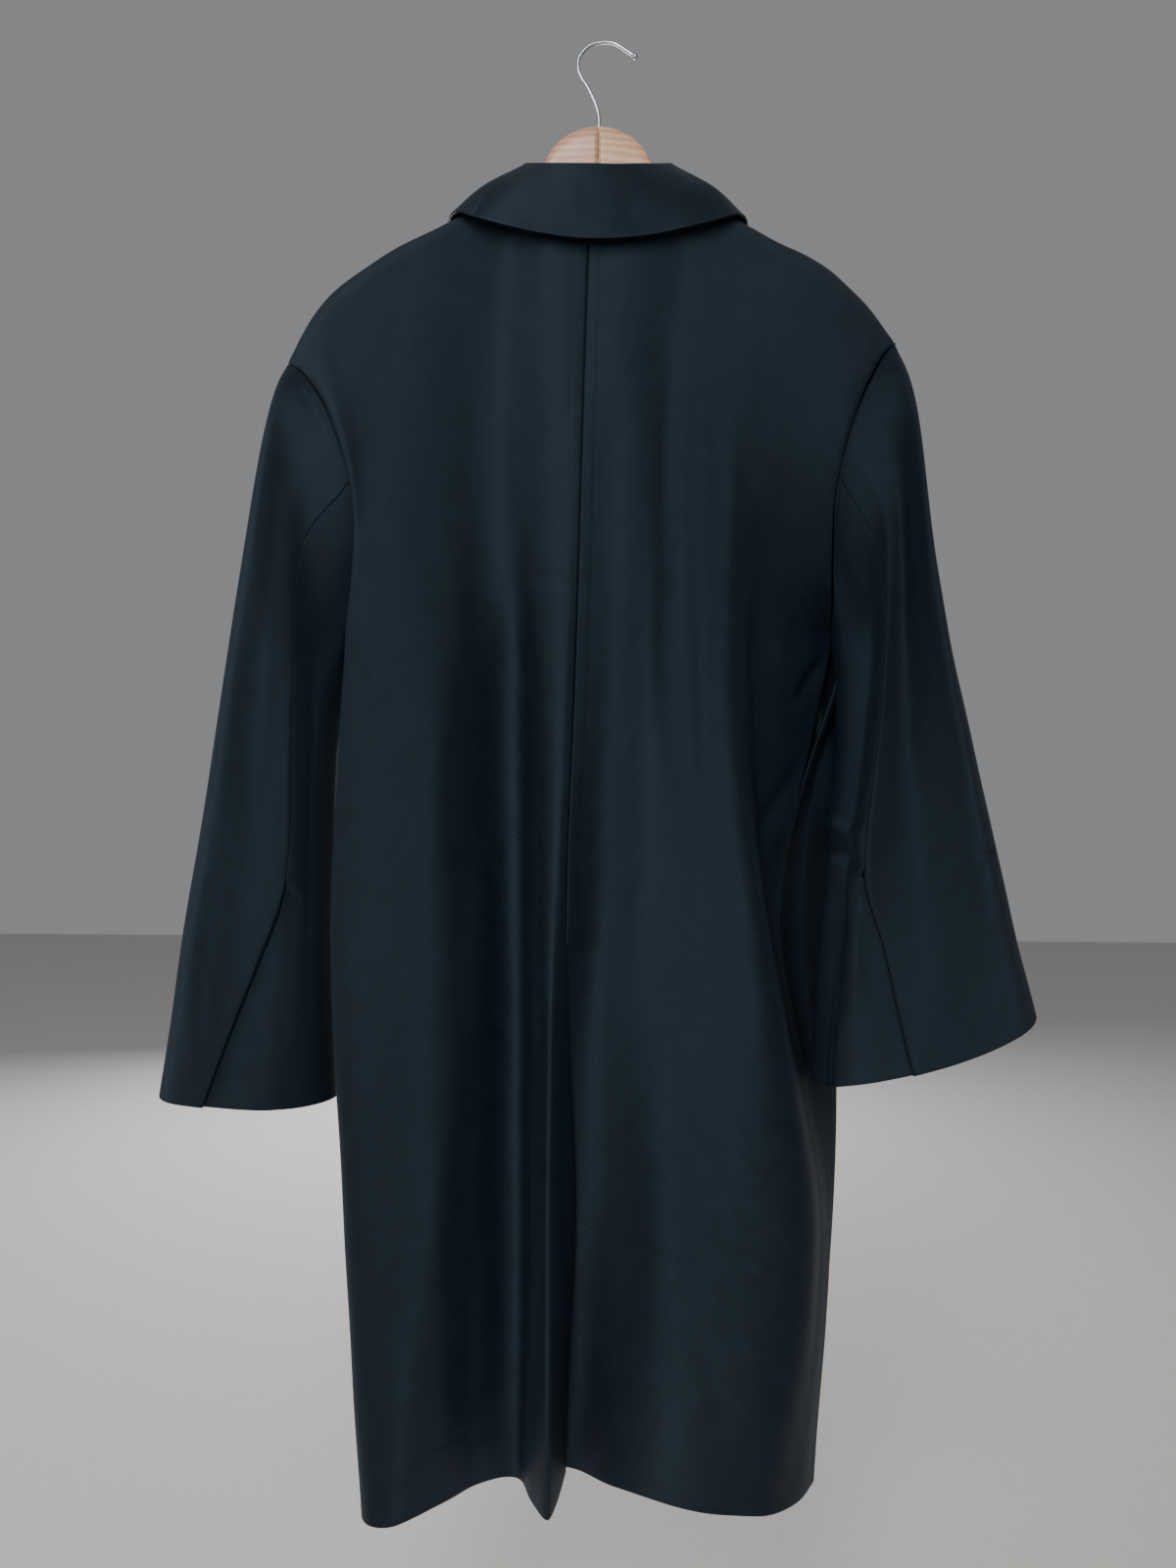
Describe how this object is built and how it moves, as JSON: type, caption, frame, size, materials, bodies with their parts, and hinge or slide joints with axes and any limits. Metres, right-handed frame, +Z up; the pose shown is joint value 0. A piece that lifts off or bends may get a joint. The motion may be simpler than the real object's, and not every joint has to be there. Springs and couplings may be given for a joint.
{
  "type": "long overcoat on a hanger",
  "caption": "Long dark overcoat with a turned collar, two-piece sleeves and a lapped back vent, hung closed on a contoured wooden hanger with a wire hook.",
  "frame": {"origin": "underside of the top of the hanger's hook, where a rod carries it", "axes": "+Z up along the hanging coat, +Y toward the coat's back, +X toward the wearer's left"},
  "size_m": [0.811, 0.196, 1.3153],
  "materials": {
    "coat_cloth": "fine matt wool twill, blue-black",
    "button": "dark polished horn-like plastic",
    "hanger_wood_left": "satin lacquered, darker strip",
    "hanger_wood_right": "satin lacquered, lighter strip",
    "hook_metal": "polished wire"
  },
  "bodies": {
    "root": {"back_left": "coat_cloth", "front_left": "coat_cloth", "lapel_left": "coat_cloth", "sleeve_upper_left": "coat_cloth", "sleeve_under_left": "coat_cloth", "hanger_left": "hanger_wood_left", "back_right": "coat_cloth", "front_right": "coat_cloth", "lapel_right": "coat_cloth", "sleeve_upper_right": "coat_cloth", "sleeve_under_right": "coat_cloth", "hanger_right": "hanger_wood_right", "collar": "coat_cloth", "button_1": "button", "button_2": "button", "button_3": "button", "hook": "hook_metal"}
  },
  "joints": []
}
